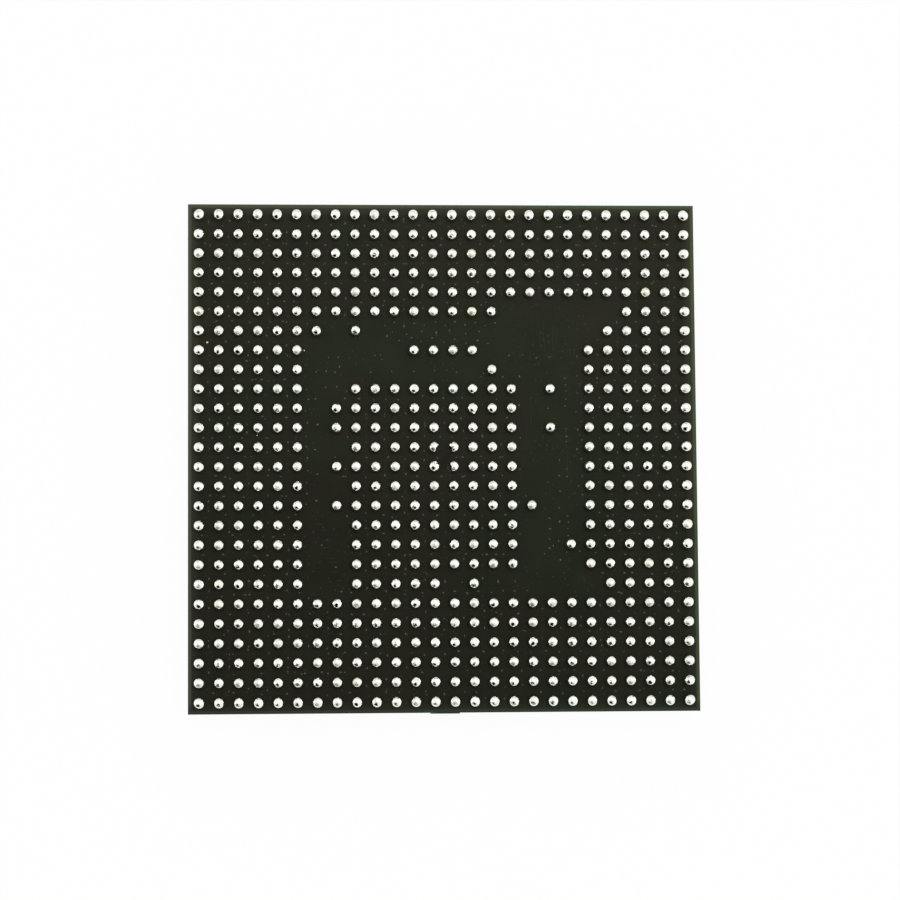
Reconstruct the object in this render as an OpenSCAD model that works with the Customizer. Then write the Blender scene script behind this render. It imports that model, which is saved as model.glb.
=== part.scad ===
// Flip-chip ball grid array package, lying on its moulded cap with the solder balls up.
// Origin: centre of the cap's flat outer face. +X runs along the ball columns' numbers,
// +Y towards ball row A, +Z out of the ball side.

/* [Ball grid] */
// Distance between neighbouring balls
pitch = 0.65; // [0.6:0.01:0.8]
// From the centre of an outer ball to the package edge
edge_margin = 0.375; // [0.3:0.005:0.8]
// Ball columns across the package
grid_cols = 26; // [25:1:28]
// Ball rows down the package
grid_rows = 26; // [25:1:28]
// Full ball rows along the top edge
top_rows = 5; // [4:1:6]
// Full ball rows along the bottom edge
bottom_rows = 6; // [4:1:6]
// Ball columns along each side edge
side_cols = 6; // [4:1:6]
// Empty columns left of the centre field
left_gap_cols = 2; // [1:1:3]
// Empty columns right of the centre field
right_gap_cols = 3; // [1:1:4]
// Rows between the top field and the centre field
top_gap_rows = 4; // [2:1:5]

/* [Solder balls] */
// Diameter of a ball
ball_d = 0.40; // [0.36:0.01:0.44]
// Opening in the solder mask that a ball sits in
mask_open_d = 0.30; // [0.24:0.01:0.32]
// Copper pad under a ball
pad_d = 0.38; // [0.35:0.01:0.42]

/* [Substrate] */
// Thickness of the laminate core
core_t = 0.40; // [0.2:0.01:0.8]
// Thickness of each insulating film over the inner copper
film_t = 0.035; // [0.02:0.005:0.06]
// Thickness of every copper layer
copper_t = 0.015; // [0.01:0.001:0.03]
// Solder mask over the copper pads
mask_t = 0.02; // [0.01:0.001:0.03]
// Inner copper stops this far short of the edge
copper_inset = 0.11; // [0.05:0.01:0.25]
// Width of the break-off stub left on the bottom edge
stub_w = 0.95; // [0.5:0.05:2]
// How far the stub stands out of the edge
stub_reach = 0.03; // [0.01:0.005:0.1]

/* [Vias] */
// Diameter of a plated micro-via through a film
via_d = 0.065; // [0.05:0.005:0.08]
// Diameter of a plated via through the core
core_via_d = 0.12; // [0.1:0.01:0.15]
// Insulating ring between a core via and the inner copper
plane_gap = 0.08; // [0.05:0.01:0.1]
// Furthest that routing shifts a via along its channel between the balls
via_shift = 0.24; // [0:0.01:0.26]
// Furthest that a via stands off the middle of its channel
via_scatter = 0.04; // [0:0.01:0.06]
// Seed of that shift
via_seed = 26; // [1:1:99]

/* [Die] */
// Width of the die
die_w = 8.2; // [6:0.1:10]
// Length of the die
die_l = 8.2; // [6:0.1:10]
// Thickness of the die
die_t = 0.40; // [0.2:0.01:0.6]
// Gap between the die and the solder mask
bump_gap = 0.06; // [0.04:0.005:0.1]
// Diameter of a solder bump under the die
bump_d = 0.10; // [0.08:0.01:0.14]
// Copper pad under a bump
bump_pad_d = 0.16; // [0.15:0.01:0.2]
// Distance between neighbouring bumps
bump_pitch = 0.5; // [0.4:0.05:1]
// From the centre of an outer bump to the die's edge
bump_margin = 0.34; // [0.2:0.01:0.5]
// Reach of the underfill past the die's edge
fillet_w = 0.35; // [0.1:0.05:0.6]
// Height of the underfill up the die's side
fillet_h = 0.25; // [0.1:0.05:0.35]

/* [Mould cap] */
// Mould compound over the back of the die
cap_cover = 0.28; // [0.15:0.01:0.5]
// From the package edge to the foot of the cap
cap_inset = 0.5; // [0.3:0.05:1]
// Lean of the cap's side walls, in degrees
cap_draft = 15; // [5:1:30]
// Width of the bevel at the cap's upright corners
cap_corner = 0.8; // [0.3:0.1:1.5]
// Diameter of the pin 1 dimple in the cap's face
dimple_d = 1.0; // [0.6:0.1:1.4]
// Depth of the dimple
dimple_depth = 0.05; // [0.02:0.01:0.1]
// From the cap's foot edges to the dimple's centre
dimple_inset = 1.6; // [1.2:0.1:3]

/* [Hidden] */
round_fn = 24;
past = 0.1;     // how far a cutter runs past what it cuts

body_w = (grid_cols - 1) * pitch + 2 * edge_margin;
body_l = (grid_rows - 1) * pitch + 2 * edge_margin;

// Heights, from the cap's outer face up to the ball side
cap_t = cap_cover + die_t + bump_gap;
z_die_face = cap_cover + die_t;
z_bump_pad = cap_t + mask_t;
z_die_film = z_bump_pad + copper_t;
z_power = z_die_film + film_t;
z_core = z_power + copper_t;
z_ground = z_core + core_t;
z_ball_film = z_ground + copper_t;
z_ball_pad = z_ball_film + film_t;
z_mask_cover = z_ball_pad + copper_t;
z_ball = z_mask_cover + mask_t;
ball_rise = sqrt(pow(ball_d, 2) - pow(mask_open_d, 2)) / 2;  // ball centre above the mask

// Centre field, counted from column 1 at the left and row 1 at the top
block_cols = [side_cols + left_gap_cols + 1, grid_cols - side_cols - right_gap_cols];
block_rows = [top_rows + top_gap_rows + 1, grid_rows - bottom_rows];
// Balls outside the plain fields, as [row, first column, last column]
added_runs = [[6, 7, 16], [7, 7, 7], [7, 9, 9], [8, 12, 15], [9, 16, 16], [10, 19, 19], [11, 8, 8],
              [12, 8, 8], [12, 19, 19], [14, 8, 8], [16, 8, 8], [16, 18, 18], [18, 20, 20]];
// Balls left out of the plain fields
missing_runs = [[6, 21, 22], [7, 21, 21], [20, 14, 14], [20, 16, 17], [20, 21, 21]];

function within(n, ends) = n >= ends[0] && n <= ends[1];
function in_runs(row, col, runs) =
  len([for (run = runs) if (row == run[0] && within(col, [run[1], run[2]])) run]) > 0;
function in_field(row, col) =
  row <= top_rows || row > grid_rows - bottom_rows || col <= side_cols || col > grid_cols - side_cols
  || (within(row, block_rows) && within(col, block_cols));
function has_ball(row, col) =
  within(row, [1, grid_rows]) && within(col, [1, grid_cols])
  && !in_runs(row, col, missing_runs) && (in_field(row, col) || in_runs(row, col, added_runs));
function site(row, col) =
  [(col - (grid_cols + 1) / 2) * pitch, ((grid_rows + 1) / 2 - row) * pitch];
function balls_in(rows, cols) =
  [for (row = [rows[0] : rows[1]]) for (col = [cols[0] : cols[1]]) if (has_ball(row, col)) site(row, col)];

side_rows = [top_rows + 1, grid_rows - bottom_rows];
all_balls = balls_in([1, grid_rows], [1, grid_cols]);

// A via stands in each cell between four balls, and in every second empty cell
function balls_round(row, col) =
  len([for (r = [row, row + 1]) for (c = [col, col + 1]) if (has_ball(r, c)) r]);
via_cells = [for (row = [1 : grid_rows - 1]) for (col = [1 : grid_cols - 1])
  if (balls_round(row, col) == 4 || (row + col) % 2 == 0) [row, col]];
// Three rolls a via: its way along the channel, its way off the middle, and which channel it is in
via_rolls = rands(-1, 1, 3 * len(via_cells), via_seed);
function via_offset(along, across, lengthwise) = lengthwise ? [across, along] : [along, across];
function via_site(n) =
  site(via_cells[n][0] + 0.5, via_cells[n][1] + 0.5)
  + via_offset(via_shift * via_rolls[3 * n], via_scatter * via_rolls[3 * n + 1], via_rolls[3 * n + 2] > 0);
ball_vias = [for (n = [0 : len(via_cells) - 1]) via_site(n)];
// Every fourth cell's via goes on through the core, clear of the inner copper
core_via_sites = [for (n = [0 : len(via_cells) - 1])
  if (via_cells[n][0] % 2 == 0 && via_cells[n][1] % 2 == 0) via_site(n)];

bump_cols = floor((die_w - 2 * bump_margin) / bump_pitch) + 1;
bump_rows = floor((die_l - 2 * bump_margin) / bump_pitch) + 1;
function bump_site(i, j) = [(i - (bump_cols - 1) / 2) * bump_pitch, (j - (bump_rows - 1) / 2) * bump_pitch];
bumps = [for (i = [0 : bump_cols - 1]) for (j = [0 : bump_rows - 1]) bump_site(i, j)];
// Every second bump carries the supply, and its via lands on the power plane
supply_bumps = [for (i = [0 : bump_cols - 1]) for (j = [0 : bump_rows - 1])
  if ((i + j) % 2 == 0) bump_site(i, j)];

solder = [0.80, 0.80, 0.78];
copper = [0.72, 0.45, 0.25];
mask_green = [0.15, 0.16, 0.12];
film_green = [0.32, 0.42, 0.28];
core_tan = [0.62, 0.60, 0.42];
mould_black = [0.10, 0.10, 0.10];

// Round bars of one size, standing on height z at each of the sites
module posts(sites, d, z, h) {
  for (s = sites) translate([s[0], s[1], z]) cylinder(d = d, h = h, $fn = round_fn);
}

// The cut outline of the substrate, with its break-off stub
module substrate_outline() {
  square([body_w, body_l], center = true);
  translate([-stub_w / 2, -body_l / 2 - stub_reach]) square([stub_w, stub_reach + past]);
}

module substrate_layer(z, h) {
  translate([0, 0, z]) linear_extrude(h) substrate_outline();
}

// A sheet of inner copper, open round each core via
module copper_sheet(z) {
  difference() {
    translate([0, 0, z]) linear_extrude(copper_t)
      square([body_w - 2 * copper_inset, body_l - 2 * copper_inset], center = true);
    posts(core_via_sites, core_via_d + 2 * plane_gap, z - past, copper_t + 2 * past);
  }
}

// A reflowed ball: a sphere cut flat at the mask, on the neck that fills the mask's opening
module ball() {
  rotate_extrude($fn = round_fn) intersection() {
    union() {
      translate([0, ball_rise]) circle(d = ball_d, $fn = round_fn);
      translate([0, -mask_t]) square([mask_open_d / 2, mask_t + ball_rise]);
    }
    translate([0, -mask_t]) square([ball_d, mask_t + ball_rise + ball_d]);
  }
}

module balls(sites) {
  color(solder) for (s = sites) translate([s[0], s[1], z_ball]) ball();
}

module balls_top_field() { balls(balls_in([1, top_rows], [1, grid_cols])); }

module balls_bottom_field() { balls(balls_in([side_rows[1] + 1, grid_rows], [1, grid_cols])); }

module balls_left_field() { balls(balls_in(side_rows, [1, side_cols])); }

module balls_right_field() { balls(balls_in(side_rows, [grid_cols - side_cols + 1, grid_cols])); }

module balls_centre_field() { balls(balls_in(side_rows, [side_cols + 1, grid_cols - side_cols])); }

module ball_pads() {
  color(copper) posts(all_balls, pad_d, z_ball_pad, copper_t);
}

// Solder mask: it beds every pad and leaves a round opening over its middle
module ball_side_mask() {
  color(mask_green) difference() {
    substrate_layer(z_ball_pad, copper_t + mask_t);
    posts(all_balls, pad_d, z_ball_pad - past, past + copper_t);
    posts(all_balls, mask_open_d, z_ball_pad, copper_t + mask_t + past);
  }
}

module ball_side_vias() {
  color(copper) posts(ball_vias, via_d, z_ball_film, film_t);
}

module ball_side_film() {
  color(film_green) difference() {
    substrate_layer(z_ground, copper_t + film_t);
    copper_sheet(z_ground);
    posts(core_via_sites, core_via_d, z_ground - past, past + copper_t);
    posts(ball_vias, via_d, z_ball_film, film_t + past);
  }
}

module ground_plane() { color(copper) copper_sheet(z_ground); }

module core() {
  color(core_tan) difference() {
    substrate_layer(z_core, core_t);
    posts(core_via_sites, core_via_d, z_core - past, core_t + 2 * past);
  }
}

module core_vias() {
  color(copper) posts(core_via_sites, core_via_d, z_power, copper_t + core_t + copper_t);
}

module power_plane() { color(copper) copper_sheet(z_power); }

module die_side_film() {
  color(film_green) difference() {
    substrate_layer(z_die_film, film_t + copper_t);
    copper_sheet(z_power);
    posts(core_via_sites, core_via_d, z_power, copper_t + past);
    posts(supply_bumps, via_d, z_die_film - past, past + film_t);
  }
}

module die_side_vias() {
  color(copper) posts(supply_bumps, via_d, z_die_film, film_t);
}

module bump_pads() {
  color(copper) posts(bumps, bump_pad_d, z_bump_pad, copper_t);
}

module die_side_mask() {
  color(mask_green) difference() {
    substrate_layer(cap_t, mask_t + copper_t);
    posts(bumps, bump_pad_d, z_bump_pad, copper_t + past);
    posts(bumps, bump_d, cap_t - past, past + mask_t + copper_t);
  }
}

module die_bumps() {
  color(solder) posts(bumps, bump_d, z_die_face, bump_gap + mask_t);
}

module die() {
  color("slategray") translate([-die_w / 2, -die_l / 2, cap_cover]) cube([die_w, die_l, die_t]);
}

// A bar along Y whose section widens from w_low to w_high over its height h
module tapered_bar(w_low, w_high, length, h) {
  translate([0, length / 2, 0]) rotate([90, 0, 0]) linear_extrude(length)
    polygon([[-w_low / 2, 0], [w_low / 2, 0], [w_high / 2, h], [-w_high / 2, h]]);
}

// A block with four leaning sides, wider at the top by flare on each side
module tapered_block(w, l, h, flare) {
  intersection() {
    tapered_bar(w, w + 2 * flare, l + 2 * flare + past, h);
    rotate(90) tapered_bar(l, l + 2 * flare, w + 2 * flare + past, h);
  }
}

// The die's underfill, with the leaning fillet that wets the die's sides
module underfill_body() {
  translate([0, 0, cap_t - bump_gap - fillet_h])
    tapered_block(die_w, die_l, bump_gap + fillet_h, fillet_w);
}

module underfill() {
  color("midnightblue") difference() {
    underfill_body();
    die();
    posts(bumps, bump_d, z_die_face - past, past + bump_gap + past);
  }
}

module mould_cap() {
  lean = cap_t * tan(cap_draft);
  foot_w = body_w - 2 * cap_inset;
  foot_l = body_l - 2 * cap_inset;
  corner_span = (foot_w + foot_l) / sqrt(2) - sqrt(2) * cap_corner;
  color(mould_black) difference() {
    intersection() {
      tapered_block(foot_w - 2 * lean, foot_l - 2 * lean, cap_t, lean);
      rotate(45) tapered_block(corner_span - 2 * lean, corner_span - 2 * lean, cap_t, lean);
    }
    underfill_body();
    die();
    translate([-foot_w / 2 + dimple_inset, foot_l / 2 - dimple_inset, -past])
      cylinder(d = dimple_d, h = past + dimple_depth, $fn = round_fn);
  }
}

balls_top_field();
balls_bottom_field();
balls_left_field();
balls_right_field();
balls_centre_field();
ball_pads();
ball_side_mask();
ball_side_vias();
ball_side_film();
ground_plane();
core();
core_vias();
power_plane();
die_side_film();
die_side_vias();
bump_pads();
die_side_mask();
die_bumps();
underfill();
die();
mould_cap();
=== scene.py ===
import math

import bpy
import numpy as np
from mathutils import Matrix, Vector


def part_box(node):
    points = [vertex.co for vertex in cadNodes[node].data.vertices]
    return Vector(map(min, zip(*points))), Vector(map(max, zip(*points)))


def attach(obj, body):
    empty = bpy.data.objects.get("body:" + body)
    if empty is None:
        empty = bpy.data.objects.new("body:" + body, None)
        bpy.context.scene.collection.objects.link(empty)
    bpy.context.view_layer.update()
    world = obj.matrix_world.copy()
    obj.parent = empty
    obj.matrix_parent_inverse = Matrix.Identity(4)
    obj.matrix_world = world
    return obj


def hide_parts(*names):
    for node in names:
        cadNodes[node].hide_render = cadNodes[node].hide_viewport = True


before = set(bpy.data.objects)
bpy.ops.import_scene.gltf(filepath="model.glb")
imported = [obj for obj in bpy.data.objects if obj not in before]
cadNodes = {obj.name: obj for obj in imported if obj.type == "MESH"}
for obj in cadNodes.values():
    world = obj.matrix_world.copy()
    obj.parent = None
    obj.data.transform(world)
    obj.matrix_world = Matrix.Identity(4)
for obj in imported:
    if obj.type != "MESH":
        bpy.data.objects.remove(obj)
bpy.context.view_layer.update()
mm = 0.001
scene = bpy.context.scene
scene.view_settings.view_transform = "Standard"
print("packed model loaded,", len(cadNodes), "nodes")

# where the layers lie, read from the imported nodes
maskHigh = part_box("ball_side_mask")[1]
maskTop = maskHigh.z
halfWidth = maskHigh.x
sunk = 0.002 * mm  # how far below the mask's face the pieces on it start
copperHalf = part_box("ground_plane")[1].x  # the inner copper stops here, short of the edge

package = {
    "pitch": 0.65 * mm,  # between neighbouring balls
    "rows": 26,
    "cols": 26,
}
pitch = package["pitch"]


def siteXY(row, col):
    # centre of the ball site in a row from the top and a column from the left, both counted from 1
    x = (np.asarray(col) - (package["cols"] + 1) / 2) * pitch
    y = ((package["rows"] + 1) / 2 - np.asarray(row)) * pitch
    return np.stack([x, y], axis=-1)


def nodePoints(name):
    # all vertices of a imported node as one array
    mesh = cadNodes[name].data
    points = np.empty(len(mesh.vertices) * 3, np.float32)
    mesh.vertices.foreach_get("co", points)
    return points.reshape(-1, 3).astype(float)


def spotCentres(name, offset):
    # groups a node's vertices by pitch cell and gives the middle of each group's box;
    # offset is 0 where the spots sit between the grid lines and 0.5 where they sit near the crossings
    points = nodePoints(name)
    cell = np.floor(points[:, :2] / pitch + offset).astype(int)
    cells, member = np.unique(cell, axis=0, return_inverse=True)
    member = member.ravel()
    low = np.full((len(cells), 3), np.inf)
    high = np.full((len(cells), 3), -np.inf)
    np.minimum.at(low, member, points)
    np.maximum.at(high, member, points)
    return (low + high) / 2, (high - low)[:, 0].mean()


# meshes from grids


def gridPiece(name, stacks):
    # stacks lists (rings, highPoint). rings holds (copies, rows, around, 3) points: each copy is a stack of
    # closed rings, row 0 lowest and counter-clockwise from above, closed by one flat face below and by a fan
    # to its highPoint, (copies, 3), above.
    points, corners, sizes = [], [], []
    count = 0
    for rings, highPoint in stacks:
        copies, rows, around, _ = rings.shape
        here = count + np.arange(copies * rows * around).reshape(copies, rows, around)
        there = np.roll(here, -1, axis=2)
        quads = np.stack([here[:, :-1], there[:, :-1], there[:, 1:], here[:, 1:]], axis=-1)
        count += here.size
        apex = np.broadcast_to((count + np.arange(copies))[:, None], (copies, around))
        count += copies
        fans = np.stack([here[:, -1], there[:, -1], apex], axis=-1)
        points += [rings.reshape(-1, 3), highPoint]
        corners += [quads.ravel(), here[:, 0, ::-1].ravel(), fans.ravel()]
        sizes += [np.full(quads.size // 4, 4), np.full(copies, around), np.full(copies * around, 3)]
    sizes = np.concatenate(sizes)
    corners = np.concatenate(corners)
    points = np.concatenate(points)
    mesh = bpy.data.meshes.new(name)
    mesh.vertices.add(len(points))
    mesh.vertices.foreach_set("co", points.astype(np.float32).ravel())
    mesh.loops.add(len(corners))
    mesh.loops.foreach_set("vertex_index", corners.astype(np.int32))
    mesh.polygons.add(len(sizes))
    mesh.polygons.foreach_set("loop_start", (np.cumsum(sizes) - sizes).astype(np.int32))
    mesh.update(calc_edges=True)
    mesh.validate()
    mesh.shade_smooth()
    piece = bpy.data.objects.new(name, mesh)
    scene.collection.objects.link(piece)
    return piece


def unitDirections(rng, count):
    # evenly spread unit vectors
    v = rng.normal(size=(count, 3))
    return v / np.linalg.norm(v, axis=1, keepdims=True)


# node helpers for materials


def newMaterial(name):
    material = bpy.data.materials.new(name)
    material.use_nodes = True
    tree = material.node_tree
    tree.nodes.clear()
    output = tree.nodes.new("ShaderNodeOutputMaterial")
    shader = tree.nodes.new("ShaderNodeBsdfPrincipled")
    tree.links.new(shader.outputs[0], output.inputs["Surface"])
    return material, tree, shader


def put(tree, kind, settings=None, **sockets):
    # a node with its settings; a socket takes a plain value or another node's output
    node = tree.nodes.new("ShaderNode" + kind)
    for key, value in (settings or {}).items():
        setattr(node, key, value)
    for key, value in sockets.items():
        place = int(key[1:]) if key[0] == "i" and key[1:].isdigit() else key.replace("_", " ")
        if isinstance(value, bpy.types.NodeSocket):
            tree.links.new(value, node.inputs[place])
        else:
            node.inputs[place].default_value = value
    return node


def math2(tree, operation, a, b=0.0):
    return put(tree, "Math", {"operation": operation}, i0=a, i1=b).outputs[0]


def vec2(tree, operation, a, b=(0, 0, 0)):
    node = put(tree, "VectorMath", {"operation": operation}, i0=a, i1=b)
    return node.outputs["Value"] if operation in ("LENGTH", "DOT_PRODUCT", "DISTANCE") else node.outputs[0]


def scaled(tree, vector, factor):
    return put(tree, "VectorMath", {"operation": "SCALE"}, i0=vector, Scale=factor).outputs[0]


def ramp(tree, value, low, high, outLow=0.0, outHigh=1.0):
    # smooth step of value from low to high, carried to outLow..outHigh
    node = put(tree, "MapRange", {"interpolation_type": "SMOOTHSTEP"}, i0=value, i1=low, i2=high,
               i3=outLow, i4=outHigh)
    return node.outputs[0]


def blendColour(tree, factor, a, b, kind="MIX"):
    node = tree.nodes.new("ShaderNodeMix")
    node.data_type = "RGBA"
    node.blend_type = kind
    for place, value in ((0, factor), (6, a), (7, b)):
        if isinstance(value, bpy.types.NodeSocket):
            tree.links.new(value, node.inputs[place])
        else:
            node.inputs[place].default_value = value
    return node.outputs[2]


def lit(tree, colour, light):
    # a colour times a grey value of painted light
    grey = put(tree, "CombineColor", i0=light, i1=light, i2=light).outputs[0]
    return blendColour(tree, 1.0, colour, grey, "MULTIPLY")


def noise(tree, vector, scale, detail=2.0, roughness=0.5):
    node = put(tree, "TexNoise", Vector=vector, Scale=scale, Detail=detail, Roughness=roughness)
    return node.outputs["Fac"]


def objectMm(tree):
    # the piece's own coordinates, counted in millimetres
    place = tree.nodes.new("ShaderNodeTexCoord").outputs["Object"]
    return scaled(tree, place, 1 / mm)


def axisOf(tree, vector, axis):
    return put(tree, "SeparateXYZ", Vector=vector).outputs[axis]


def bump(tree, shader, height, distance, strength=1.0):
    node = put(tree, "Bump", Height=height, Distance=distance, Strength=strength)
    tree.links.new(node.outputs[0], shader.inputs["Normal"])


def srgb(r, g, b):
    # a colour given in 0..255 screen values, as the linear values that a shader takes
    c = np.array([r, g, b]) / 255
    c = np.where(c <= 0.04045, c / 12.92, ((c + 0.055) / 1.055) ** 2.4)
    return (*[float(v) for v in c], 1.0)


# camera, light and floor

view = {
    "lens": 117.9,
    "turn": 0.117,  # degrees about the view axis
    "lean": 3.636,  # degrees seen from the left
    "nod": -5.077,  # degrees seen from below
    "aside": 0.204 * mm,  # the view axis passes this far from the package's middle
    "above": 0.220 * mm,
    "distance": 98.2 * mm,
    "belowTips": 0.2 * mm,  # the camera aims this far below the balls' tips
}


def placeCamera(heightOfAim):
    turn = [Matrix.Rotation(math.radians(view[key]), 3, axis)
            for key, axis in (("turn", "Z"), ("lean", "Y"), ("nod", "X"))]
    toCamera = turn[0] @ turn[1] @ turn[2]
    toWorld = toCamera.transposed()
    camera = bpy.data.objects.new("camera", bpy.data.cameras.new("camera"))
    camera.data.lens = view["lens"]
    camera.data.sensor_width = 36
    camera.data.clip_start = 0.002
    camera.data.clip_end = 10
    place = toWorld @ Vector((view["aside"], view["above"], view["distance"]))
    place.z += heightOfAim
    camera.matrix_world = Matrix.Translation(place) @ toWorld.to_4x4()
    scene.collection.objects.link(camera)
    scene.camera = camera


studio = {
    "skyForDiffuse": 0.85,
    "keyShare": 0.15,  # what the lamp adds on a level surface, where 1 renders a colour as written
    "keyFrom": (0.22, 0.25, 0.94),  # direction towards the lamp
    "keyDistance": 0.35,
    "keySize": 0.22,
    "floorHalf": 0.6,
    "floorColour": (0.93, 0.93, 0.92, 1),
    "floorGlow": 0.95,  # share of plain white in what the camera sees of the floor
    "mirroredSky": 1.05,  # what polished metal mirrors of the sky
    "spotDirection": (-0.297, -0.731, 0.613),  # the dark opening that shows in every ball
    "spotAngles": (35, 21),  # degrees, outer and inner
    "seamAcross": (-0.933, 0.166, -0.320),  # square to the seam that rises from the opening over the top
    "seamWidth": (0.30, 0.06),
    "seamRun": (-0.7, 0.6),  # the seam narrows over this range of y
    "seamFoot": (0.3, 0.55),  # and fades in over this range of z
    "seamDepth": 0.62,
    "greySide": (-0.40, -0.915, 0.0),  # the sky is dim low on this side
    "greyEdge": (0.5, 0.87),
    "greyTop": (0.55, 0.25),
    "greyLevel": 0.28,
    "farEdge": (0.60, 0.95),
    "farTop": (0.35, 0.05),
    "farDim": 0.75,  # how much of the low sky is lost on the far side
    "sideEdge": (0.75, 0.97),
    "sideTop": (0.3, 0.0),
    "sideGain": 1.6,  # what the low sky gains at the left and right
    "mirroredTint": (1, 1, 0.985, 1),
}


def makeWorld():
    world = bpy.data.worlds.new("studio")
    scene.world = world
    world.use_nodes = True
    tree = world.node_tree
    tree.nodes.clear()
    direction = tree.nodes.new("ShaderNodeTexCoord").outputs["Generated"]
    spot = Vector(studio["spotDirection"]).normalized()
    outer, inner = (math.cos(math.radians(a)) for a in studio["spotAngles"])
    spotMask = ramp(tree, vec2(tree, "DOT_PRODUCT", direction, spot), outer, inner)
    x, y, z = (axisOf(tree, direction, axis) for axis in "XYZ")

    # a dark seam rises from the opening over the top
    wide, thin = studio["seamWidth"]
    apart = math2(tree, "ABSOLUTE", vec2(tree, "DOT_PRODUCT", direction, studio["seamAcross"]))
    apart = math2(tree, "ADD", apart, ramp(tree, y, *studio["seamRun"], 0.0, wide))
    seamMask = math2(tree, "MULTIPLY", ramp(tree, apart, wide, thin), ramp(tree, z, *studio["seamFoot"]))
    seamMask = math2(tree, "MULTIPLY", seamMask, studio["seamDepth"])

    # the low sky is dim on the near and far sides, and brighter at the left and right
    side = vec2(tree, "DOT_PRODUCT", direction, studio["greySide"])
    greyMask = ramp(tree, side, *studio["greyEdge"])
    greyMask = math2(tree, "MULTIPLY", greyMask, ramp(tree, z, *studio["greyTop"]))
    greyMask = math2(tree, "MULTIPLY", greyMask, 1 - studio["greyLevel"])
    farMask = math2(tree, "MULTIPLY", ramp(tree, y, *studio["farEdge"]), ramp(tree, z, *studio["farTop"]))
    greyMask = math2(tree, "MAXIMUM", greyMask, math2(tree, "MULTIPLY", farMask, studio["farDim"]))
    light = math2(tree, "SUBTRACT", 1.0, math2(tree, "MAXIMUM", greyMask, seamMask))
    light = math2(tree, "MULTIPLY", light, math2(tree, "SUBTRACT", 1.0, spotMask))
    outwards = ramp(tree, math2(tree, "ABSOLUTE", x), *studio["sideEdge"])
    sideMask = math2(tree, "MULTIPLY", outwards, ramp(tree, z, *studio["sideTop"]))
    sideGain = math2(tree, "ADD", 1.0, math2(tree, "MULTIPLY", sideMask, studio["sideGain"]))
    light = math2(tree, "MULTIPLY", math2(tree, "MULTIPLY", light, sideGain), studio["mirroredSky"])

    # polished metal mirrors that pattern, the camera sees white, and everything else is lit evenly
    mirrored = put(tree, "Background", Strength=light, Color=studio["mirroredTint"])
    plain = put(tree, "Background", Strength=1.0, Color=(1, 1, 1, 1))
    diffuse = put(tree, "Background", Strength=studio["skyForDiffuse"], Color=(1, 1, 1, 1))
    ray = tree.nodes.new("ShaderNodeLightPath")
    seen = math2(tree, "MAXIMUM", ray.outputs["Is Camera Ray"], ray.outputs["Is Transmission Ray"])
    first = put(tree, "MixShader", i0=ray.outputs["Is Glossy Ray"], i1=diffuse.outputs[0],
                i2=mirrored.outputs[0])
    second = put(tree, "MixShader", i0=seen, i1=first.outputs[0], i2=plain.outputs[0])
    output = tree.nodes.new("ShaderNodeOutputWorld")
    tree.links.new(second.outputs[0], output.inputs["Surface"])


def makeLamp():
    lamp = bpy.data.lights.new("keyLamp", "AREA")
    lamp.shape = "DISK"
    lamp.size = studio["keySize"]
    direction = Vector(studio["keyFrom"]).normalized()
    # a disk lamp of power P lights a facing surface at distance d with P / (pi d^2), and pi renders as 1
    lamp.energy = studio["keyShare"] * math.pi ** 2 * studio["keyDistance"] ** 2 / direction.z
    piece = bpy.data.objects.new("keyLamp", lamp)
    piece.location = direction * studio["keyDistance"]
    piece.rotation_euler = direction.to_track_quat("Z", "Y").to_euler()
    scene.collection.objects.link(piece)


def makeFloor():
    half = studio["floorHalf"]
    corners = [(-half, -half, 0), (half, -half, 0), (half, half, 0), (-half, half, 0)]
    mesh = bpy.data.meshes.new("floor")
    mesh.from_pydata(corners, [], [(0, 1, 2, 3)])
    floor = bpy.data.objects.new("floor", mesh)
    floor.location.z = -0.002 * mm
    scene.collection.objects.link(floor)
    material, tree, shader = newMaterial("paleFloor")
    shader.inputs["Base Color"].default_value = studio["floorColour"]
    shader.inputs["Roughness"].default_value = 0.9
    shader.inputs["Specular IOR Level"].default_value = 0.0
    ray = tree.nodes.new("ShaderNodeLightPath")
    seen = math2(tree, "MAXIMUM", ray.outputs["Is Camera Ray"], ray.outputs["Is Glossy Ray"])
    glow = put(tree, "Emission", Strength=1.0, Color=(1, 1, 1, 1))
    mixed = put(tree, "MixShader", i0=math2(tree, "MULTIPLY", seen, studio["floorGlow"]),
                i1=shader.outputs[0], i2=glow.outputs[0])
    output = next(n for n in tree.nodes if n.bl_idname == "ShaderNodeOutputMaterial")
    tree.links.new(mixed.outputs[0], output.inputs["Surface"])
    mesh.materials.append(material)


# solder balls

ball = {
    "around": 14,
    "latitudes": (-41, 6, 33, 53, 73),  # degrees, of each ring of points
    "fineAround": 36,
    "fineLatitudes": (-41, -28, -14, 0, 14, 28, 42, 54, 66, 78),
    "wobble": 0.008,  # share of the radius, by which a ball's side swells or sinks
    "grit": 0.12,  # share of the wobble that differs from point to point
    "sinks": 1.0,  # how much of an inward swell is kept
    "swells": 0.2,  # and of an outward one, so that a ball stays inside its solid's box
    "footSpread": 1.035,  # the foot's ring laps onto the mask
    "farAway": 9,  # radii, where a cutter doesn't reach
    "seed": 7,
}

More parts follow.
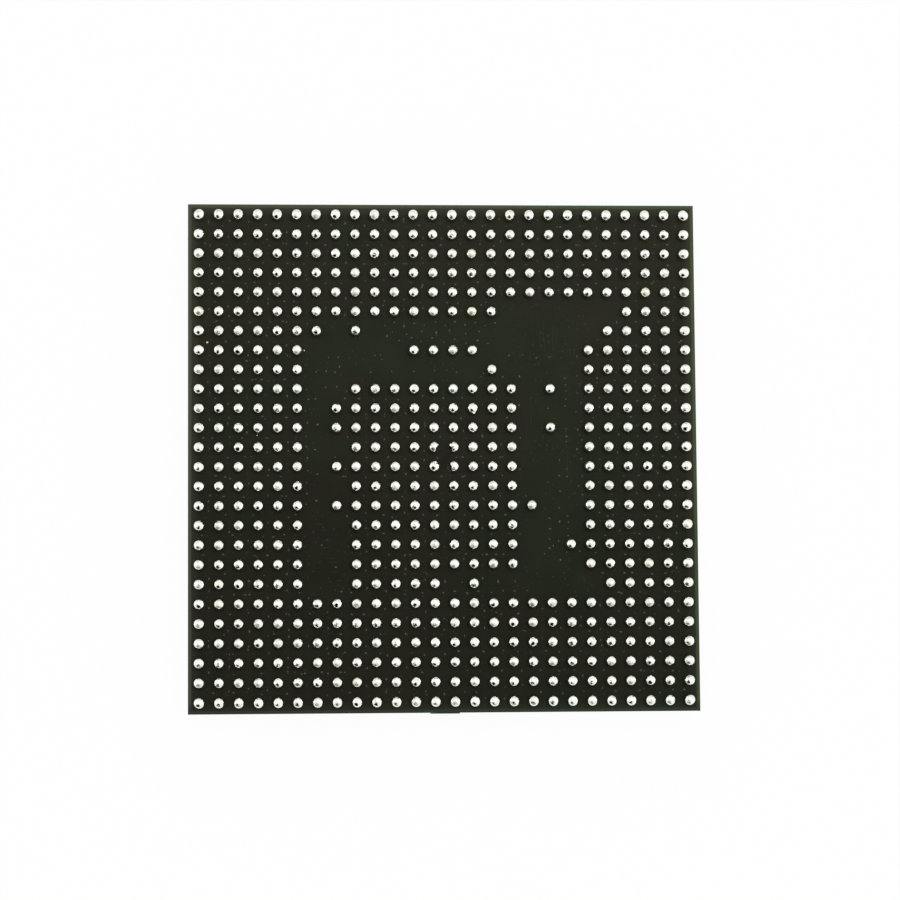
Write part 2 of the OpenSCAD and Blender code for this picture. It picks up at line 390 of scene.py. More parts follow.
# Balls that something scraped, with lengths in shares of the ball's radius. A cut's wall is upright and
# follows a round cutter that leaves a share of the radius at its azimuth, within a span of azimuths, in
# degrees. A dent is round, and is a lump where it is negative.
nicks = [
    {"row": 13, "col": 13, "cuts": [{"azimuth": -28, "left": 0.38, "cutter": 0.85, "span": (-80, 25)}]},
    {"row": 13, "col": 14, "cuts": [{"azimuth": -126, "left": 0.34, "cutter": 30, "span": (-198, -116)}]},
    {"row": 14, "col": 14, "cuts": [{"azimuth": -166, "left": 0.42, "cutter": 0.7, "span": (-212, -128)}]},
    {"row": 14, "col": 13, "cuts": [{"azimuth": 34, "left": 0.74, "cutter": 0.4, "span": (8, 58)}],
     "dents": [{"towards": (0.165, 0.55, 0.82), "width": 19, "depth": 0.40}]},
    {"row": 11, "col": 15, "dents": [{"towards": (0.26, -0.96, 0.10), "width": 25, "depth": -0.22}]},
]


def nickedReach(nick, n, azimuth, reach):
    # A dent takes depth * smoothstep of the angle to it. With d = azimuth - the cut's azimuth and
    # c = left + cutter, the cutter's wall stands c * cos d - sqrt(cutter^2 - c^2 * sin^2 d) from the axis.
    for dent in nick.get("dents", []):
        towards = np.array(dent["towards"]) / np.linalg.norm(dent["towards"])
        angle = np.degrees(np.arccos(np.clip(n @ towards, -1, 1)))
        edge = np.clip((dent["width"] - angle) / (dent["width"] * 0.7), 0, 1)
        reach = reach - dent["depth"] * edge * edge * (3 - 2 * edge)
    for cut in nick.get("cuts", []):
        d = azimuth - np.radians(cut["azimuth"])
        c = cut["left"] + cut["cutter"]
        inside = cut["cutter"] ** 2 - (c * np.sin(d)) ** 2
        first, last = np.radians(cut["span"])
        turned = (azimuth - first) % (2 * np.pi) <= last - first
        struck = turned & (inside > 0) & (np.cos(d) > 0)
        wall = np.where(struck, c * np.cos(d) - np.sqrt(np.maximum(inside, 0)), ball["farAway"])
        reach = np.minimum(reach, wall / np.hypot(n[..., 0], n[..., 1]))
    return reach


def ballStack(centres, radius, highest, around, latitudes, rng, nick=None):
    # Each ball is centre + radius * (1 + swell) * n, where n is the unit vector at latitude u and azimuth v,
    # and swell adds three low waves (n . d)^k along random directions d, so no two balls are alike.
    # The lowest ring is drawn out to the mask's opening.
    count = len(centres)
    u = np.radians(latitudes)[None, :, None]
    v = (np.arange(around) / around * 2 * np.pi)[None, None, :] + rng.uniform(0, 6, (count, 1, 1))
    n = np.stack(np.broadcast_arrays(np.cos(u) * np.cos(v), np.cos(u) * np.sin(v), np.sin(u)), axis=-1)
    swell = np.zeros(n.shape[:3])
    for power in (2, 3, 4):
        d = unitDirections(rng, count)
        along = np.einsum("crak,ck->cra", n, d)
        swell += rng.uniform(-1, 1, (count, 1, 1)) * ball["wobble"] * (along ** power - 1 / (power + 1))
    swell += rng.normal(0, ball["wobble"] * ball["grit"], swell.shape)
    reach = 1 + np.minimum(swell, 0.0) * ball["sinks"] + np.maximum(swell, 0.0) * ball["swells"]
    if nick:
        reach = nickedReach(nick, n, v, reach)
    points = centres[:, None, None, :] + radius * reach[..., None] * n
    foot = radius * math.cos(math.radians(latitudes[0])) * ball["footSpread"] * reach[:, :1]
    points[:, :1, :, 0] = centres[:, None, None, 0] + foot * np.cos(v)
    points[:, :1, :, 1] = centres[:, None, None, 1] + foot * np.sin(v)
    points[:, 0, :, 2] = maskTop - sunk
    points[..., 2] = np.minimum(points[..., 2], highest)
    tip = points[:, -1].mean(axis=1)
    tip[:, 2] = np.minimum(highest, tip[:, 2] + radius * (1 - math.sin(math.radians(latitudes[-1]))))
    return points, tip


def solderBalls(nodeName, pieceName, material, rng):
    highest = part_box(nodeName)[1].z
    centres, width = spotCentres(nodeName, 0.0)
    radius = width / 2
    centres[:, 2] = highest - radius
    stacks = []
    whole = np.full(len(centres), True)
    for nick in nicks:
        struck = np.linalg.norm(centres[:, :2] - siteXY(nick["row"], nick["col"]), axis=1) < pitch / 4
        if struck.any():
            whole &= ~struck
            stacks.append(ballStack(centres[struck], radius, highest, ball["fineAround"],
                                    ball["fineLatitudes"], rng, nick))
    stacks.append(ballStack(centres[whole], radius, highest, ball["around"], ball["latitudes"], rng))
    piece = gridPiece(pieceName, stacks)
    piece.data.materials.append(material)
    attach(piece, "root")
    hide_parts(nodeName)
    return len(centres)


solderLook = {
    "tint": (0.905, 0.912, 0.855, 1),
    "warmTint": (0.90, 0.87, 0.74, 1),  # of one ball in ten
    "cloudTint": (0.66, 0.67, 0.62, 1),
    "crown": (0.60, 0.82),  # z of the normal, where the side ends and the crown begins
    "dull": 0.45,  # roughness of the dullest crown
    "sideDull": 0.18,  # the side's share of the crown's roughness
    "grain": 0.06,
    "bumps": 0.046 * mm,
    "sideBumps": 0.14,  # the side's share of the crown's bumps
}


def solderMaterial():
    # bright tin alloy: each ball has a tint and roughness of its own, taken from its cell of the grid
    material, tree, shader = newMaterial("reflowedSolder")
    place = objectMm(tree)
    cell = vec2(tree, "FLOOR", scaled(tree, place, mm / pitch))
    flat = vec2(tree, "MULTIPLY", cell, (1, 1, 0))
    own = put(tree, "TexWhiteNoise", {"noise_dimensions": "3D"}, Vector=flat)
    ownColour = put(tree, "SeparateColor", Color=own.outputs["Color"])
    tint = blendColour(tree, ramp(tree, ownColour.outputs[0], 0.90, 1.0, 0, 0.8), solderLook["tint"],
                       solderLook["warmTint"])
    cloud = noise(tree, place, 8.0, 3, 0.6)
    tint = blendColour(tree, ramp(tree, cloud, 0.46, 0.70, 0.0, 0.55), tint, solderLook["cloudTint"])
    tree.links.new(tint, shader.inputs["Base Color"])
    shader.inputs["Metallic"].default_value = 1.0
    # the crown is duller than the side
    facing = axisOf(tree, tree.nodes.new("ShaderNodeNewGeometry").outputs["Normal"], "Z")
    dull = math2(tree, "MULTIPLY", ramp(tree, ownColour.outputs[1], 0.15, 1.0, 0.0, solderLook["dull"]),
                 ramp(tree, facing, *solderLook["crown"], solderLook["sideDull"], 1.0))
    grain = math2(tree, "MULTIPLY", noise(tree, place, 30.0, 2), solderLook["grain"])
    tree.links.new(math2(tree, "ADD", dull, grain), shader.inputs["Roughness"])
    bump(tree, shader, noise(tree, place, 5.5, 2, 0.55), solderLook["bumps"],
         ramp(tree, facing, *solderLook["crown"], solderLook["sideBumps"], 1.0))
    return material


# materials of the substrate and cap

maskLook = {
    "olive": srgb(32, 34, 21),
    "green": srgb(28, 34, 22),
    "brown": srgb(35, 33, 25),
    "stain": srgb(26, 36, 26),
    "dust": srgb(56, 57, 49),
    "blockMiddle": (-0.3, -0.9),  # mm, of the centre field
    "blockHalf": (2.9, 3.4),
    "fieldsBegin": (4.9, 4.2),  # mm from the axes, where the outer fields end the empty stretches
    "smudge": (13.65, 13.55),  # row and column of the rubbed spot between the nicked balls
    "smudgeTurn": 0.6,
    "smudgeStretch": (2.2, 1.2, 0),
    "paintedShadeSpot": (-3.9, -2.2, 0),  # mm, middle of a faint spot of painted shade
    "rim": srgb(74, 88, 62),
    "rimGrey": srgb(79, 81, 65),
    "rimBelow": srgb(68, 84, 80),
    "teal": srgb(40, 84, 74),
    "rimSoft": 0.035,  # mm over which the rim fades in
    "inner": srgb(60, 62, 45),  # what the mask turns to just inside the rim
    "innerWidth": 0.34,
    "nearBand": (0.4, 0.15),  # mm from the near edge, over which the rim is painted dimmer as painted shade and turns bluish
    "stubLeft": -0.5,  # mm, middle of the teal left part of the stub
    "stubFlat": 0.28,  # length of that spot across over along
}


def maskMaterial():
    # solder mask: dark olive over copper, paler green where the copper stops short of the edge
    material, tree, shader = newMaterial("oliveSolderMask")
    place = objectMm(tree)
    x, y, z = (axisOf(tree, place, axis) for axis in "XYZ")
    patches = noise(tree, place, 0.30, 3, 0.55)
    blots = noise(tree, vec2(tree, "ADD", place, (31, 7, 3)), 0.9, 3, 0.6)
    outward = math2(tree, "MAXIMUM", math2(tree, "ABSOLUTE", x), math2(tree, "ABSOLUTE", y))

    # the empty stretches are greener than the fields of balls
    beyond = [math2(tree, "SUBTRACT", math2(tree, "ABSOLUTE", math2(tree, "SUBTRACT", along, middle)), half)
              for along, middle, half in zip((x, y), maskLook["blockMiddle"], maskLook["blockHalf"])]
    block = math2(tree, "MAXIMUM", *beyond)
    empty = ramp(tree, outward, *maskLook["fieldsBegin"])
    empty = math2(tree, "MULTIPLY", empty, ramp(tree, block, -0.2, 0.4))
    greenShare = math2(tree, "ADD", patches, ramp(tree, empty, 0.0, 1.0, -0.06, 0.08))
    colour = blendColour(tree, ramp(tree, greenShare, 0.38, 0.62), maskLook["brown"], maskLook["green"])
    colour = blendColour(tree, ramp(tree, blots, 0.35, 0.65, 0.15, 0.75), colour, maskLook["olive"])
    stains = noise(tree, vec2(tree, "ADD", place, (5, 17, 11)), 0.75, 3, 0.6)
    colour = blendColour(tree, ramp(tree, stains, 0.56, 0.76, 0.0, 0.6), colour, maskLook["stain"])

    # painted light: the colour is lit by a painted value that falls off towards the near edge; its blots and
    # speckle are the mask's own tone, and the mask is rubbed in places
    half = halfWidth / mm
    light = ramp(tree, y, -half, half, -0.14, 0.31)
    # painted light: a little lighter towards the right
    light = math2(tree, "ADD", light, ramp(tree, x, -half, half, -0.03, 0.05))
    light = math2(tree, "ADD", light, ramp(tree, blots, 0.25, 0.75, 0.90, 1.06))
    rubbed = siteXY(*maskLook["smudge"]) / mm
    across = vec2(tree, "SUBTRACT", vec2(tree, "MULTIPLY", place, (1, 1, 0)), (*rubbed, 0))
    across = put(tree, "VectorRotate", {"rotation_type": "Z_AXIS"}, Vector=across,
                 Angle=maskLook["smudgeTurn"])
    across = vec2(tree, "LENGTH", vec2(tree, "MULTIPLY", across.outputs[0], maskLook["smudgeStretch"]))
    smudge = ramp(tree, math2(tree, "ADD", across, blots), 1.0, 0.45, 0.0, 0.32)
    light = math2(tree, "SUBTRACT", light, smudge)
    speckle = noise(tree, place, 16.0, 2, 0.6)
    light = math2(tree, "ADD", light, ramp(tree, speckle, 0.3, 0.7, -0.05, 0.05))
    # painted light: lighter towards the outer fields
    light = math2(tree, "ADD", light, ramp(tree, outward, 4.5, 7.5, 0.0, 0.06))
    # painted shade: the colour is painted darker around this spot
    shade = vec2(tree, "DISTANCE", vec2(tree, "MULTIPLY", place, (1, 1, 0)), maskLook["paintedShadeSpot"])
    light = math2(tree, "SUBTRACT", light, ramp(tree, shade, 3.0, 0.8, 0.0, 0.12))
    # the colour times the painted light, tone and rubbing above
    colour = lit(tree, colour, light)

    # the rim begins where the copper stops, and wanders a little
    edge = copperHalf / mm
    wander = math2(tree, "MULTIPLY", math2(tree, "SUBTRACT", noise(tree, place, 1.4, 2), 0.5), 0.05)
    soft = maskLook["rimSoft"]
    rimMask = ramp(tree, math2(tree, "ADD", outward, wander), edge - soft, edge + soft)
    inner = ramp(tree, math2(tree, "ADD", outward, wander), edge - maskLook["innerWidth"], edge)
    inner = math2(tree, "MULTIPLY", inner, ramp(tree, y, -half, half, 0.22, 0.64))
    colour = blendColour(tree, inner, colour, maskLook["inner"])
    drift = math2(tree, "MULTIPLY", math2(tree, "SUBTRACT", noise(tree, place, 0.3, 2), 0.5), 16)
    lean = math2(tree, "ADD", x, drift)
    rimColour = blendColour(tree, ramp(tree, lean, -3.0, 6.0), maskLook["rimGrey"], maskLook["rim"])
    # painted highlight: a lighter line along the far edge of the rim
    farEdge = ramp(tree, y, half - 0.07, half, 0.0, 0.18)
    nearBand = [-half + away for away in maskLook["nearBand"]]
    # painted light: the rim is painted lighter towards the far edge and darker, as painted shade, in the near
    # band
    paintedRimLight = math2(tree, "ADD", ramp(tree, y, -half, half, 0.70, 0.90), farEdge)
    paintedRimLight = math2(tree, "SUBTRACT", paintedRimLight, ramp(tree, y, *nearBand, 0.0, 0.28))
    rimColour = blendColour(tree, ramp(tree, y, *nearBand, 0.0, 0.45), rimColour, maskLook["rimBelow"])
    rimColour = lit(tree, rimColour, paintedRimLight)
    colour = blendColour(tree, rimMask, colour, rimColour)

    # dust, and the teal left part of the stub
    dust = put(tree, "TexVoronoi", {"feature": "F1", "voronoi_dimensions": "2D"}, Vector=place, Scale=3.2)
    dustShare = ramp(tree, dust.outputs["Distance"], 0.12, 0.04, 0.0, 0.8)
    dustShare = math2(tree, "MULTIPLY", dustShare, ramp(tree, noise(tree, place, 1.1, 2), 0.42, 0.62))
    colour = blendColour(tree, dustShare, colour, maskLook["dust"])
    flat = maskLook["stubFlat"]
    stubLeft = (maskLook["stubLeft"] * flat, -half - 0.03, 0)
    away = vec2(tree, "DISTANCE", vec2(tree, "MULTIPLY", place, (flat, 1, 0)), stubLeft)
    colour = blendColour(tree, ramp(tree, away, 0.09, 0.04), colour, maskLook["teal"])
    tree.links.new(colour, shader.inputs["Base Color"])
    shader.inputs["Specular IOR Level"].default_value = 0.05
    gloss = math2(tree, "ADD", math2(tree, "MULTIPLY", noise(tree, place, 2.5, 3), 0.16), 0.34)
    tree.links.new(gloss, shader.inputs["Roughness"])
    bump(tree, shader, noise(tree, place, 3.0, 4, 0.6), 0.004 * mm, 0.6)
    return material


def filmMaterial(name, colour):
    # build-up film at the cut edge: streaked along the edge by the saw
    material, tree, shader = newMaterial(name)
    place = objectMm(tree)
    streaks = noise(tree, vec2(tree, "MULTIPLY", place, (6, 6, 90)), 1.0, 3)
    tone = blendColour(tree, ramp(tree, streaks, 0.3, 0.7), [c * 0.75 for c in colour[:3]] + [1], colour)
    tree.links.new(tone, shader.inputs["Base Color"])
    tree.links.new(ramp(tree, streaks, 0.2, 0.8, 0.45, 0.65), shader.inputs["Roughness"])
    shader.inputs["Specular IOR Level"].default_value = 0.35
    bump(tree, shader, streaks, 0.006 * mm, 0.5)
    return material


coreLook = {
    "resin": srgb(150, 138, 92),
    "glass": srgb(196, 188, 150),
    "plies": 9.0,  # glass plies for each millimetre of thickness
    "yarns": 2.2,  # yarns for each millimetre along the edge
}


def coreMaterial():
    # laminate: plies of woven glass in resin, seen end on at the cut edge as bands with lens-shaped yarn ends
    material, tree, shader = newMaterial("glassFibreLaminate")
    place = objectMm(tree)
    x, y, z = (axisOf(tree, place, axis) for axis in "XYZ")
    wander = math2(tree, "MULTIPLY", noise(tree, place, 1.1, 2), 0.06)
    height = math2(tree, "ADD", z, wander)
    ply = math2(tree, "SINE", math2(tree, "MULTIPLY", height, 2 * math.pi * coreLook["plies"]))
    run = math2(tree, "ADD", x, y)
    yarn = math2(tree, "SINE", math2(tree, "MULTIPLY", run, 2 * math.pi * coreLook["yarns"]))
    weave = math2(tree, "ADD", ply, math2(tree, "MULTIPLY", yarn, 0.45))
    fibres = noise(tree, vec2(tree, "MULTIPLY", place, (30, 30, 120)), 1.0, 2)
    weave = math2(tree, "ADD", weave, math2(tree, "MULTIPLY", math2(tree, "SUBTRACT", fibres, 0.5), 1.2))
    share = ramp(tree, weave, -0.8, 1.1)
    colour = blendColour(tree, share, coreLook["resin"], coreLook["glass"])
    tree.links.new(colour, shader.inputs["Base Color"])
    tree.links.new(ramp(tree, fibres, 0.2, 0.8, 0.5, 0.75), shader.inputs["Roughness"])
    shader.inputs["Specular IOR Level"].default_value = 0.3
    bump(tree, shader, weave, 0.004 * mm, 0.5)
    return material


def mouldMaterial():
    # black moulding compound: fine filler grain, a little polished where it is high
    material, tree, shader = newMaterial("blackMouldCompound")
    place = objectMm(tree)
    grain = noise(tree, place, 22.0, 4, 0.65)
    clouds = noise(tree, place, 0.35, 3)
    colour = blendColour(tree, ramp(tree, grain, 0.3, 0.7), srgb(30, 30, 31), srgb(46, 46, 47))
    colour = blendColour(tree, ramp(tree, clouds, 0.35, 0.7, 0, 0.35), colour, srgb(56, 55, 53))
    sparkle = put(tree, "TexVoronoi", {"feature": "F1"}, Vector=place, Scale=14.0).outputs["Distance"]
    colour = blendColour(tree, ramp(tree, sparkle, 0.16, 0.05, 0, 0.5), colour, srgb(120, 118, 112))
    tree.links.new(colour, shader.inputs["Base Color"])
    tree.links.new(ramp(tree, grain, 0.3, 0.7, 0.50, 0.72), shader.inputs["Roughness"])
    shader.inputs["Specular IOR Level"].default_value = 0.4
    bump(tree, shader, grain, 0.012 * mm, 0.6)
    return material


def copperMaterial():
    material, tree, shader = newMaterial("platedCopper")
    place = objectMm(tree)
    grain = noise(tree, place, 12.0, 3)
    colour = blendColour(tree, ramp(tree, grain, 0.35, 0.7), (0.72, 0.36, 0.20, 1), (0.86, 0.52, 0.34, 1))
    tree.links.new(colour, shader.inputs["Base Color"])
    shader.inputs["Metallic"].default_value = 1.0
    tree.links.new(ramp(tree, grain, 0.2, 0.8, 0.25, 0.45), shader.inputs["Roughness"])
    bump(tree, shader, grain, 0.003 * mm, 0.5)
    return material


def bumpSolderMaterial():
    material, tree, shader = newMaterial("bumpSolder")
    place = objectMm(tree)
    grain = noise(tree, place, 25.0, 3)
    colour = blendColour(tree, grain, (0.62, 0.62, 0.60, 1), (0.82, 0.82, 0.79, 1))
    tree.links.new(colour, shader.inputs["Base Color"])
    shader.inputs["Metallic"].default_value = 1.0
    tree.links.new(ramp(tree, grain, 0.2, 0.8, 0.2, 0.4), shader.inputs["Roughness"])
    return material


def siliconMaterial():
    # ground back of the die: fine arcs from the grinding wheel
    material, tree, shader = newMaterial("groundSilicon")
    place = objectMm(tree)
    away = vec2(tree, "DISTANCE", place, (-40, -26, 0))
    arcs = math2(tree, "SINE", math2(tree, "MULTIPLY", away, 90.0))
    grain = noise(tree, place, 6.0, 3)
    share = math2(tree, "ADD", math2(tree, "MULTIPLY", arcs, 0.2), grain)
    colour = blendColour(tree, ramp(tree, share, 0.2, 0.9), srgb(92, 96, 104), srgb(126, 130, 138))
    tree.links.new(colour, shader.inputs["Base Color"])
    shader.inputs["Metallic"].default_value = 0.6
    tree.links.new(ramp(tree, share, 0.1, 0.9, 0.22, 0.38), shader.inputs["Roughness"])
    return material


def underfillMaterial():
    material, tree, shader = newMaterial("epoxyUnderfill")
    place = objectMm(tree)
    cloud = noise(tree, place, 2.0, 4)
    colour = blendColour(tree, ramp(tree, cloud, 0.3, 0.7), srgb(30, 34, 52), srgb(48, 54, 76))
    tree.links.new(colour, shader.inputs["Base Color"])
    tree.links.new(ramp(tree, cloud, 0.3, 0.7, 0.25, 0.4), shader.inputs["Roughness"])
    bump(tree, shader, cloud, 0.01 * mm, 0.4)
    return material


# small marks on the mask

viaMark = {
    "around": 8,
    "height": 0.004 * mm,
    "width": 0.058 * mm,
    "drawn": (1.0, 1.9),  # length over width, along the channel
    "widths": (0.8, 1.2),  # shares of the width above, from mark to mark
    "heights": (0.6, 1.2),
    "askew": 0.15,  # radians off the channel
    "turnReach": 0.45,  # pitches along the channel from the crossing to a track's turn, at most
    "turnScatter": 0.05,
    "chainScatter": 0.03,
    "seed": 21,
    "shownShare": 0.92,  # share of the vias among the balls that show
    "extraShare": 0.36,  # share of the cells among the balls with a second mark, where a buried track turns
}

# Chains of marks over the empty stretches, in rows and columns: where each starts, its step and its count,
# and how far every second one stands off across the chain.
chains = [
    {"at": (6.70, 10.5), "step": (0.0, 0.52), "count": 12, "zigzag": 0.16},
    {"at": (7.00, 10.9), "step": (0.0, 0.75), "count": 7, "zigzag": -0.12},
    {"at": (7.30, 10.7), "step": (0.02, 0.57), "count": 10, "zigzag": -0.18},
    {"at": (8.25, 10.0), "step": (0.12, 0.15), "count": 3, "zigzag": 0.2},
    {"at": (8.35, 7.6), "step": (0.25, 0.3), "count": 3, "zigzag": 0.3},
    {"at": (9.1, 7.0), "step": (0.0, 0.48), "count": 3, "zigzag": 0.0},
    {"at": (9.1, 9.75), "step": (0.0, 1.1), "count": 5, "zigzag": 0.05},
    {"at": (8.25, 16.9), "step": (0.05, 0.7), "count": 4, "zigzag": 0.1},
    {"at": (9.35, 16.6), "step": (0.0, 0.8), "count": 2, "zigzag": 0.0},
    {"at": (9.45, 19.84), "step": (0.35, 0.0), "count": 5, "zigzag": 0.0},
    {"at": (12.05, 19.84), "step": (0.33, 0.0), "count": 3, "zigzag": 0.0},
    {"at": (14.15, 19.84), "step": (0.35, 0.0), "count": 2, "zigzag": 0.0},
    {"at": (16.55, 19.84), "step": (0.34, 0.0), "count": 4, "zigzag": 0.0},
    {"at": (8.3, 20.4), "step": (0.48, 0.0), "count": 16, "zigzag": 0.22},
    {"at": (11.0, 18.88), "step": (1.9, 0.0), "count": 3, "zigzag": 0.0},
    {"at": (16.7, 18.88), "step": (0.5, 0.0), "count": 4, "zigzag": 0.05},
    {"at": (18.45, 18.66), "step": (-0.33, 0.38), "count": 3, "zigzag": 0.0},
    {"at": (18.8, 19.5), "step": (-0.4, 0.3), "count": 2, "zigzag": 0.0},
    {"at": (13.7, 19.43), "step": (0.8, 0.0), "count": 5, "zigzag": 0.0},
    {"at": (19.95, 13.5), "step": (0.0, 0.9), "count": 5, "zigzag": 0.06},
    {"at": (20.45, 13.4), "step": (0.0, 0.62), "count": 8, "zigzag": 0.06},
    {"at": (9.95, 6.45), "step": (0.6, 0.0), "count": 11, "zigzag": 0.06},
    {"at": (10.5, 6.95), "step": (1.3, 0.0), "count": 5, "zigzag": 0.04},
    {"at": (9.85, 8.0), "step": (0.05, -0.55), "count": 2, "zigzag": 0.0},
    {"at": (13.5, 8.0), "step": (0.6, 0.45), "count": 2, "zigzag": 0.0},
    {"at": (18.0, 7.25), "step": (1.2, 0.5), "count": 3, "zigzag": 0.2},
    {"at": (10.85, 17.4), "step": (1.65, 0.0), "count": 5, "zigzag": 0.0},
]


def chainSites(rng):
    # site k of a chain stands at its start + k * step, and every second one stands zigzag further across it
    sites = []
    for chain in chains:
        k = np.arange(chain["count"])[:, None]
        step = np.array(chain["step"])
        across = np.array([-step[1], step[0]]) / np.linalg.norm(step)
        spot = np.array(chain["at"]) + k * step + (k % 2) * chain["zigzag"] * across
        sites.append(spot + rng.normal(0, viaMark["chainScatter"], spot.shape))
    sites = np.concatenate(sites)
    return siteXY(sites[:, 0], sites[:, 1])


def domePoints(middle, width, length, heading, tall, around):
    # Low domes on the mask: height tall * (1 - r^2)^2 out to r = 1, on an ellipse of the given width and
    # length whose long axis lies along heading.
    r = np.array([1.0, 0.78, 0.45])[None, :, None]
    v = (np.arange(around) / around * 2 * np.pi)[None, None, :]
    width, length, heading, tall = (np.asarray(a)[:, None, None] for a in (width, length, heading, tall))
    along, across = length / 2 * r * np.cos(v), width / 2 * r * np.sin(v)
    z = maskTop + tall * (1 - r ** 2) ** 2 * np.ones_like(v)
    z[:, 0] = maskTop - sunk
    x = middle[:, 0, None, None] + along * np.cos(heading) - across * np.sin(heading)
    y = middle[:, 1, None, None] + along * np.sin(heading) + across * np.cos(heading)
    tip = np.column_stack([middle, maskTop + tall[:, 0, 0]])
    return np.stack([x, y, z], axis=-1), tip


def buriedMarks(material):
    # a mark over each via among the balls, over extra track turns in the channels, and along the chains
    rng = np.random.default_rng(viaMark["seed"])
    centres = spotCentres("ball_side_vias", 0.5)[0][:, :2]
    balls = np.concatenate([spotCentres(name, 0.0)[0] for name in ballFields])[:, :2]
    crossings = np.round(centres / pitch) * pitch
    neighbours = (np.linalg.norm(crossings[:, None] - balls[None], axis=2) < pitch).sum(axis=1)
    among = centres[neighbours >= 3]
    shown = among[rng.uniform(size=len(among)) < viaMark["shownShare"]]
    crossing = np.round(among[rng.uniform(size=len(among)) < viaMark["extraShare"]] / pitch) * pitch
    turn = rng.uniform(size=len(crossing)) < 0.5
    alongChannel = rng.uniform(-viaMark["turnReach"], viaMark["turnReach"], len(crossing))
    shift = np.column_stack([alongChannel, rng.normal(0, viaMark["turnScatter"], len(crossing))]) * pitch
    extra = crossing + np.where(turn[:, None], shift, shift[:, ::-1])
    middle = np.concatenate([shown, extra, chainSites(rng)])
    off = np.abs(middle - np.round(middle / pitch) * pitch)
    heading = np.where(off[:, 0] > off[:, 1], 0.0, math.pi / 2) + rng.normal(0, viaMark["askew"], len(middle))
    width = rng.uniform(*viaMark["widths"], len(middle)) * viaMark["width"]
    length = width * rng.uniform(*viaMark["drawn"], len(middle))
    tall = rng.uniform(*viaMark["heights"], len(middle)) * viaMark["height"]
    stack = domePoints(middle, width, length, heading, tall, viaMark["around"])
    piece = gridPiece("buriedViaMarks", [stack])
    piece.data.materials.append(material)
    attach(piece, "root")
    return len(middle)


trackMark = {"width": 0.03 * mm, "height": 0.003 * mm, "around": 12}

# Buried tracks that show as faint hairlines: row and column of each group's first line, how its lines step,
# how many there are, the shortest and longest in mm, and their heading in degrees.
tracks = [
    {"at": (6.4, 18.2), "step": (0.22, 0.3), "count": 8, "length": (0.3, 0.9), "heading": 90},
    {"at": (7.4, 18.1), "step": (0.1, 0.35), "count": 7, "length": (0.2, 0.7), "heading": 90},
    {"at": (12.6, 19.86), "step": (0.55, 0.02), "count": 4, "length": (0.3, 0.6), "heading": 90},
    {"at": (16.9, 7.2), "step": (0.42, 0.12), "count": 8, "length": (0.2, 0.6), "heading": 4},
    {"at": (10.6, 18.0), "step": (0.8, -0.1), "count": 5, "length": (0.4, 1.0), "heading": 88},
]


def buriedTracks(material):
    # drawn-out domes in groups of near-parallel lines
    rng = np.random.default_rng(viaMark["seed"] + 1)
    at, heading, length = [], [], []
    for group in tracks:
        k = np.arange(group["count"])[:, None]
        at.append(np.array(group["at"]) + k * np.array(group["step"]) + rng.normal(0, 0.06, (len(k), 2)))
        heading.append(np.radians(group["heading"]) + rng.normal(0, 0.03, len(k)))
        length.append(rng.uniform(*group["length"], len(k)) * mm)
    at, heading, length = (np.concatenate(values) for values in (at, heading, length))
    middle = siteXY(at[:, 0], at[:, 1])
    stack = domePoints(middle, np.full(len(at), trackMark["width"]), length, heading,
                       np.full(len(at), trackMark["height"]), trackMark["around"])
    piece = gridPiece("buriedTracks", [stack])
    piece.data.materials.append(material)
    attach(piece, "root")
    return len(at)


residue = {
    "out": 0.64,  # share of a ball's radius from its axis to the middle of the dome that laps on it
    "along": 0.96,
    "across": 1.60,
    "height": 0.022 * mm,
}


def darkResidue(material):
    # one low dark dome on each scraped side, over what the cut leaves of the ball's foot
    struck = [(nick["row"], nick["col"], math.radians(cut["azimuth"]))
              for nick in nicks for cut in nick.get("cuts", [])]
    rows, cols, azimuth = (np.array(column) for column in zip(*struck))
    radius = spotCentres("balls_centre_field", 0.0)[1] / 2
    outward = np.column_stack([np.cos(azimuth), np.sin(azimuth)])
    middle = siteXY(rows, cols) + residue["out"] * radius * outward
    size = np.ones(len(struck)) * radius
    stack = domePoints(middle, size * residue["across"], size * residue["along"], azimuth,
                       np.full(len(struck), residue["height"]), 20)
    piece = gridPiece("darkResidue", [stack])
    piece.data.materials.append(material)
    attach(piece, "root")


def trackMaterial():
    # mask over a buried track, barely paler than the rest
    material, tree, shader = newMaterial("maskOverTrack")
    place = objectMm(tree)
    colour = blendColour(tree, noise(tree, place, 2.0, 1), srgb(33, 36, 26), srgb(43, 47, 36))
    tree.links.new(colour, shader.inputs["Base Color"])
    shader.inputs["Specular IOR Level"].default_value = 0.1
    shader.inputs["Roughness"].default_value = 0.45
    return material


def residueMaterial():
    material, tree, shader = newMaterial("darkFluxResidue")
    place = objectMm(tree)
    grain = noise(tree, place, 9.0, 3, 0.6)
    colour = blendColour(tree, ramp(tree, grain, 0.45, 0.72), srgb(27, 28, 20), srgb(78, 79, 70))
    tree.links.new(colour, shader.inputs["Base Color"])
    shader.inputs["Specular IOR Level"].default_value = 0.1
    shader.inputs["Roughness"].default_value = 0.5
    return material


# dried flux: row, column, width and heading in radians of each speck
specks = [(7.58, 1.41, 0.060 * mm, 0.4), (8.0, 6.37, 0.040 * mm, 1.9), (12.37, 3.95, 0.035 * mm, 1.1)]


def fluxSpecks(material):
    # tiny domes, 1.3 times as long as wide and a fifth as tall
    rows, cols, widths, headings = (np.array(column) for column in zip(*specks))
    stack = domePoints(siteXY(rows, cols), widths, widths * 1.3, headings, widths * 0.2, 10)
    piece = gridPiece("fluxSpecks", [stack])
    piece.data.materials.append(material)
    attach(piece, "root")


def fluxMaterial():
    material, tree, shader = newMaterial("driedFlux")
    place = objectMm(tree)
    colour = blendColour(tree, noise(tree, place, 20.0, 2), srgb(228, 228, 220), srgb(246, 246, 240))
    tree.links.new(colour, shader.inputs["Base Color"])
    shader.inputs["Roughness"].default_value = 0.4
    return material


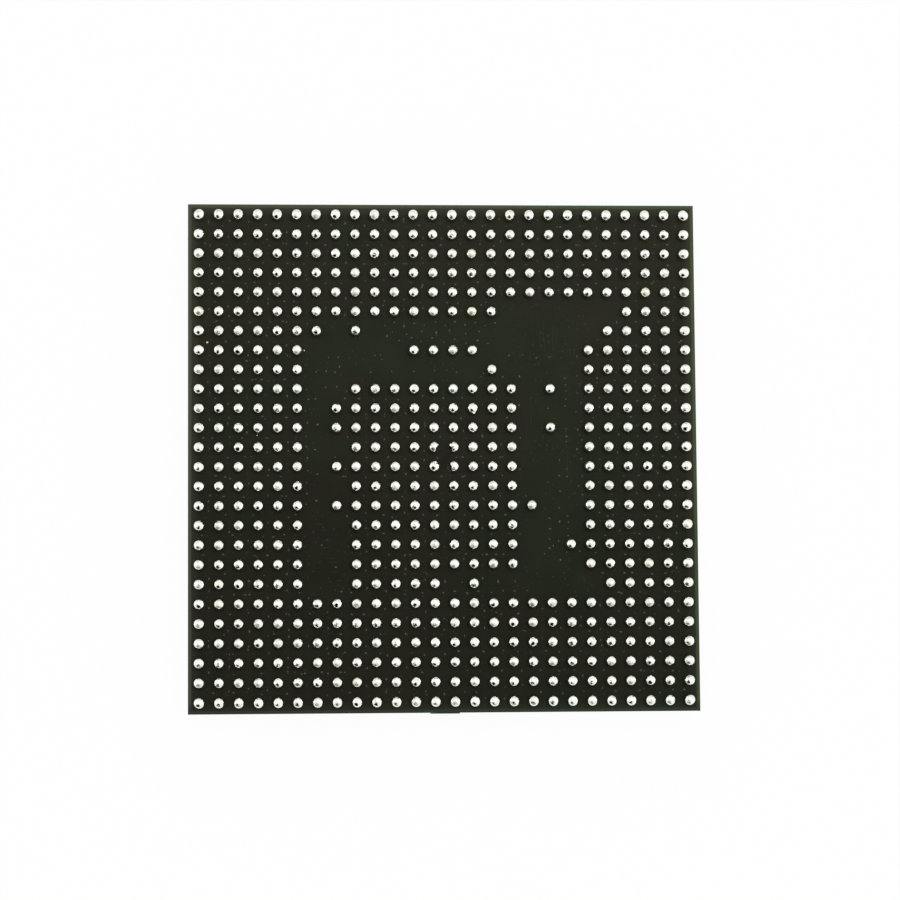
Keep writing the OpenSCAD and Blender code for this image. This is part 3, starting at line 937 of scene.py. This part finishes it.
def viaMarkMaterial():
    # mask stretched thin over a via: the copper below lifts it towards a pale grey
    material, tree, shader = newMaterial("maskOverVia")
    place = objectMm(tree)
    own = noise(tree, place, 3.0, 1)
    colour = blendColour(tree, ramp(tree, own, 0.28, 0.72), srgb(40, 42, 33), srgb(74, 76, 66))
    tree.links.new(colour, shader.inputs["Base Color"])
    shader.inputs["Specular IOR Level"].default_value = 0.3
    tree.links.new(ramp(tree, own, 0.3, 0.7, 0.35, 0.5), shader.inputs["Roughness"])
    return material


# put it together

ballFields = {
    "balls_top_field": "solderBallsTop",
    "balls_bottom_field": "solderBallsBottom",
    "balls_left_field": "solderBallsLeft",
    "balls_right_field": "solderBallsRight",
    "balls_centre_field": "solderBallsCentre",
}

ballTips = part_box("balls_top_field")[1].z
placeCamera(ballTips - view["belowTips"])
makeWorld()
makeLamp()
makeFloor()
print("camera, lamp, sky and floor placed")

copper = copperMaterial()
oliveMask = maskMaterial()
finishes = {
    "ball_side_mask": oliveMask,
    "die_side_mask": oliveMask,
    "ball_side_film": filmMaterial("ballSideFilm", srgb(92, 98, 66)),
    "die_side_film": filmMaterial("dieSideFilm", srgb(86, 92, 62)),
    "core": coreMaterial(),
    "mould_cap": mouldMaterial(),
    "ball_pads": copper,
    "ball_side_vias": copper,
    "ground_plane": copper,
    "core_vias": copper,
    "power_plane": copper,
    "die_side_vias": copper,
    "bump_pads": copper,
    "die_bumps": bumpSolderMaterial(),
    "die": siliconMaterial(),
    "underfill": underfillMaterial(),
}
for name, material in finishes.items():
    mesh = cadNodes[name].data
    mesh.materials.clear()
    mesh.materials.append(material)
print("finishes put on", len(finishes), "packed nodes")

solder = solderMaterial()
for name in ballFields:  # hidden under the modelled balls, but finished all the same
    mesh = cadNodes[name].data
    mesh.materials.clear()
    mesh.materials.append(solder)
ballRng = np.random.default_rng(ball["seed"])
made = sum(solderBalls(name, piece, solder, ballRng) for name, piece in ballFields.items())
print("solder balls modelled:", made)

print("marks over buried vias:", buriedMarks(viaMarkMaterial()))
print("faint tracks:", buriedTracks(trackMaterial()))
darkResidue(residueMaterial())
fluxSpecks(fluxMaterial())
print("residue and flux laid on the mask")
